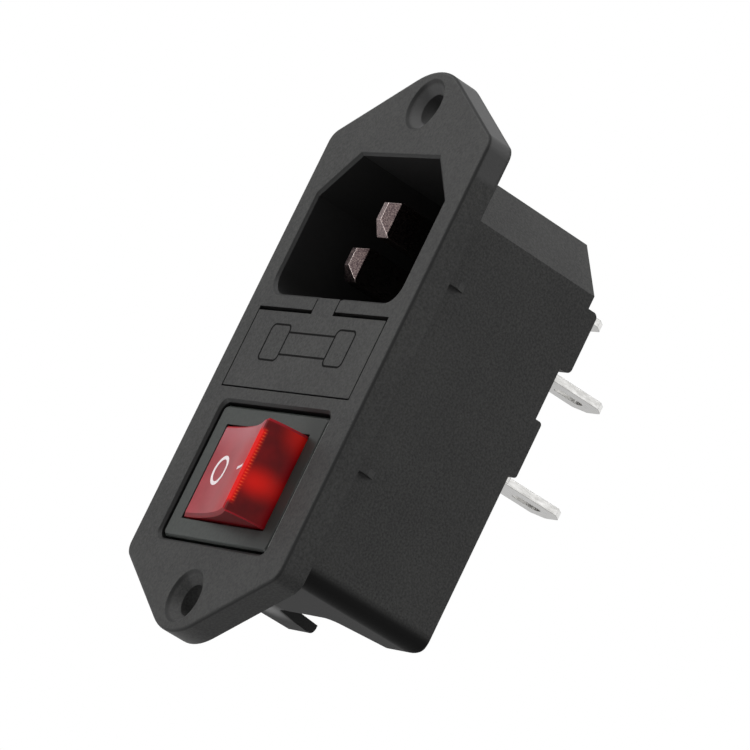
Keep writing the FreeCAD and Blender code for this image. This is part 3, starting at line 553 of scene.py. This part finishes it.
# place and aim in millimetres, side of the square panel in millimetres, radiance of the panel
softboxes = {
    "key": {"place": (-170, -560, 400), "aim": (0, 0, 0), "side": 480, "glow": 5.1},
    "low": {"place": (-300, -440, -340), "aim": (0, 0, -10), "side": 360, "glow": 4.7},
    "under": {"place": (40, 80, -600), "aim": (0, 0, -10), "side": 420, "glow": 3.0, "glossy": False},
    "side": {"place": (500, 150, 560), "aim": (0, 10, 0), "side": 420, "glow": 4.2},
    "back": {"place": (60, 640, 240), "aim": (0, 10, 0), "side": 360, "glow": 3.4, "glossy": False},
    "left": {"place": (-560, 380, 120), "aim": (0, 10, 0), "side": 360, "glow": 4.0, "glossy": False},
}
for name, box in softboxes.items():
    light = bpy.data.lights.new(name, "AREA")
    light.size = box["side"] * mm
    light.energy = box["glow"] * math.pi * light.size ** 2
    panel = bpy.data.objects.new(name, light)
    panel.location = Vector(box["place"]) * mm
    panel.rotation_euler = (Vector(box["aim"]) - Vector(box["place"])).to_track_quat("-Z", "Y").to_euler()
    bpy.context.scene.collection.objects.link(panel)
    panel.visible_glossy = box.get("glossy", True)

# White paper on the floor, lifted towards white for the camera so that only the shadow shows. The room
# is white to the camera, in reflections and through glass, and lights the rest as a soft grey fill,
# which grows from low to high with the height that a ray looks up to.
paper = {"tones": ((0.3, "#f0f0f0"), (0.7, "#f6f6f6")), "fibre": 0.8 * mm, "rough": 0.9, "gloss": 0.07,
         "drop": 130 * mm, "half": 4.0, "lift": 0.55}
room = {"low": 0.14, "high": 0.45, "lowUntil": -0.2, "highFrom": 0.3}
floorMesh = bmesh.new()
bmesh.ops.create_grid(floorMesh, x_segments=1, y_segments=1, size=paper["half"])
bmesh.ops.translate(floorMesh, vec=(0, 0, cadLow.z - paper["drop"]), verts=floorMesh.verts)
floorData = bpy.data.meshes.new("floor")
floorMesh.to_mesh(floorData)
floorMesh.free()
floor = bpy.data.objects.new("floor", floorData)
bpy.context.scene.collection.objects.link(floor)
floorMaterial, tree, place = startMaterial("white paper")
fibre = addNode(tree, "ShaderNodeTexNoise", {"Scale": 1 / paper["fibre"]}, {"Vector": place})
colour = addNode(tree, "ShaderNodeValToRGB", {"tones": paper["tones"]}, {"Fac": fibre.outputs["Fac"]})
ray = addNode(tree, "ShaderNodeLightPath").outputs
lift = addNode(tree, "ShaderNodeMath", {"operation": "MULTIPLY", 1: paper["lift"]}, {0: ray["Is Camera Ray"]})
finishMaterial(tree, {"Roughness": paper["rough"], "Specular IOR Level": paper["gloss"],
                      "Emission Color": (1, 1, 1, 1)},
               {"Base Color": colour.outputs["Color"], "Emission Strength": lift.outputs[0]})
floor.data.materials.append(floorMaterial)
floor.visible_diffuse = floor.visible_glossy = False

world = bpy.data.worlds.new("studio")
world.use_nodes = True
tree = world.node_tree
tree.nodes.clear()
ray = addNode(tree, "ShaderNodeLightPath").outputs
seen = addNode(tree, "ShaderNodeMath", {"operation": "MAXIMUM"},
               {0: ray["Is Camera Ray"], 1: ray["Is Transmission Ray"]})
seen = addNode(tree, "ShaderNodeMath", {"operation": "MAXIMUM"}, {0: seen.outputs[0], 1: ray["Is Glossy Ray"]})
outwards = addNode(tree, "ShaderNodeTexCoord").outputs["Generated"]
aim = addNode(tree, "ShaderNodeSeparateXYZ", links={0: outwards})
fill = addNode(tree, "ShaderNodeMapRange",
               {"From Min": room["lowUntil"], "From Max": room["highFrom"], "To Min": room["low"],
                "To Max": room["high"]}, {"Value": aim.outputs["Z"]})
strength = addNode(tree, "ShaderNodeMapRange", {"To Max": 1.0},
                   {"Value": seen.outputs[0], "To Min": fill.outputs["Result"]})
sky = addNode(tree, "ShaderNodeBackground", {"Color": (1, 1, 1, 1)}, {"Strength": strength.outputs["Result"]})
addNode(tree, "ShaderNodeOutputWorld", links={"Surface": sky.outputs[0]})
bpy.context.scene.world = world
bpy.context.scene.view_settings.view_transform = "Standard"
print("camera, lights and floor are set")
